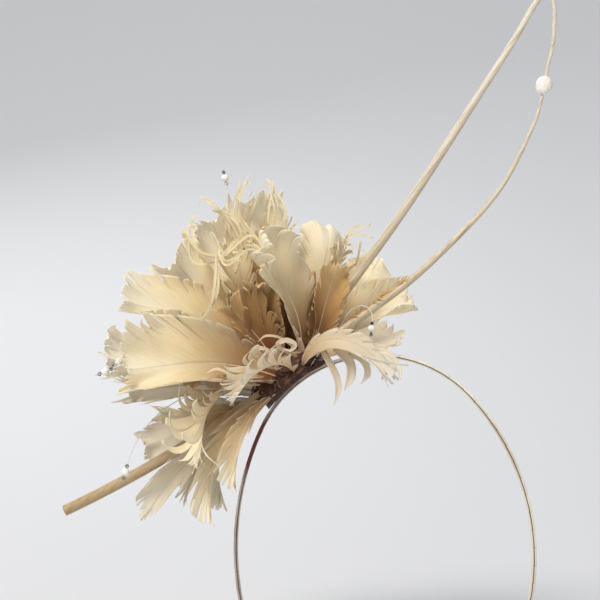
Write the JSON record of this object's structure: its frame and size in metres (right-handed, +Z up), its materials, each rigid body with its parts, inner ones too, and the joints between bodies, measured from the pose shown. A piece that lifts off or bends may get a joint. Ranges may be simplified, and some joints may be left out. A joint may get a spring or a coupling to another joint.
{
  "type": "fascinator headpiece",
  "caption": "Flower of curled feathers with two long quills and beaded lines on a slim satin-covered headband, worn on the left of the head.",
  "frame": {"origin": "centre of the round arc of the crown, midway across the band, inside the head that wears it", "axes": "+X towards the viewer's right with the flower on the left, +Y away from the front along the axis of the crown's arc, +Z up"},
  "size_m": [0.2467, 0.0915, 0.3277],
  "materials": {
    "satin": "satin",
    "spring_steel": "brushed",
    "glue": "gloss",
    "sinamay": "matte",
    "quill": "satin",
    "feather": "matte",
    "pearl": "pearl",
    "crystal": "gloss",
    "thread": "matte",
    "beading_wire": "gloss"
  },
  "bodies": {
    "crown": {"crown_ribbon": "satin", "crown_core": "spring_steel", "glue_bed": "glue", "sinamay_base": "sinamay", "curved_quill": "quill", "straight_quill": "quill", "quill_pearl": "pearl", "quill_lashing": "thread", "petal_upper_left": "feather", "petal_upper_back": "feather", "plume_tall_left": "feather", "plume_tall_back": "feather", "plume_arched": "feather", "bud_hood": "feather", "bud_lip": "feather", "plume_wisp_right": "feather", "petal_centre": "feather", "petal_inner": "feather", "petal_left": "feather", "petal_left_bright": "feather", "petal_front_left": "feather", "petal_low_left": "feather", "plume_hook_left": "feather", "plume_under_left": "feather", "hanging_far_left": "feather", "hanging_left": "feather", "hanging_middle": "feather", "hanging_right": "feather", "hanging_near_band": "feather", "curl_front": "feather", "curl_low": "feather", "petal_right_back": "feather", "petal_right": "feather", "petal_front_right": "feather", "petal_drooping": "feather", "petal_right_low": "feather"},
    "left_leg": {"left_leg_ribbon": "satin", "left_leg_core": "spring_steel", "left_tip_cuff": "satin"},
    "right_leg": {"right_leg_ribbon": "satin", "right_leg_core": "spring_steel", "right_tip_cuff": "satin"},
    "spray_top": {"spray_top_line": "beading_wire", "spray_top_pearl": "pearl", "spray_top_crystals": "crystal"},
    "spray_left": {"spray_left_line": "beading_wire", "spray_left_pearl": "pearl", "spray_left_crystals": "crystal"},
    "spray_far_left": {"spray_far_left_line": "beading_wire", "spray_far_left_pearl": "pearl", "spray_far_left_crystals": "crystal"},
    "spray_low": {"spray_low_line": "beading_wire", "spray_low_pearl": "pearl", "spray_low_crystals": "crystal"},
    "spray_right": {"spray_right_line": "beading_wire", "spray_right_pearl": "pearl", "spray_right_crystals": "crystal"},
    "spray_front": {"spray_front_line": "beading_wire", "spray_front_pearl": "pearl", "spray_front_crystals": "crystal"}
  },
  "joints": [
    {"name": "left_leg_flex", "type": "hinge", "parent": "crown", "child": "left_leg", "pos_m": [-0.05801, 0, 0.02583], "axis": [0, 1, 0], "range_deg": [-4, 10], "stiffness_Nm_per_rad": 0.8},
    {"name": "right_leg_flex", "type": "hinge", "parent": "crown", "child": "right_leg", "pos_m": [0.04568, 0, 0.04411], "axis": [0, -1, 0], "range_deg": [-4, 10], "stiffness_Nm_per_rad": 0.8},
    {"name": "spray_top_sway", "type": "hinge", "parent": "crown", "child": "spray_top", "pos_m": [-0.04285, 0.0165, 0.05164], "axis": [0.8909, 0.3999, 0.2153], "range_deg": [-4, 4], "stiffness_Nm_per_rad": 0.006},
    {"name": "spray_left_sway", "type": "hinge", "parent": "crown", "child": "spray_left", "pos_m": [-0.04687, -0.0035, 0.04802], "axis": [0.1012, -0.9923, -0.0715], "range_deg": [-4, 4], "stiffness_Nm_per_rad": 0.006},
    {"name": "spray_far_left_sway", "type": "hinge", "parent": "crown", "child": "spray_far_left", "pos_m": [-0.04894, -0.006, 0.0459], "axis": [0.1133, -0.971, -0.2106], "range_deg": [-4, 4], "stiffness_Nm_per_rad": 0.006},
    {"name": "spray_low_sway", "type": "hinge", "parent": "crown", "child": "spray_low", "pos_m": [-0.05098, -0.0058, 0.04363], "axis": [0.1354, -0.99, 0.0409], "range_deg": [-4, 4], "stiffness_Nm_per_rad": 0.006},
    {"name": "spray_right_sway", "type": "hinge", "parent": "crown", "child": "spray_right", "pos_m": [-0.02742, -0.003, 0.06124], "axis": [0.6738, 0.6533, -0.3451], "range_deg": [-4, 4], "stiffness_Nm_per_rad": 0.006},
    {"name": "spray_front_sway", "type": "hinge", "parent": "crown", "child": "spray_front", "pos_m": [-0.03356, -0.0158, 0.05811], "axis": [0.3098, 0.9237, 0.2252], "range_deg": [-4, 4], "stiffness_Nm_per_rad": 0.006}
  ]
}
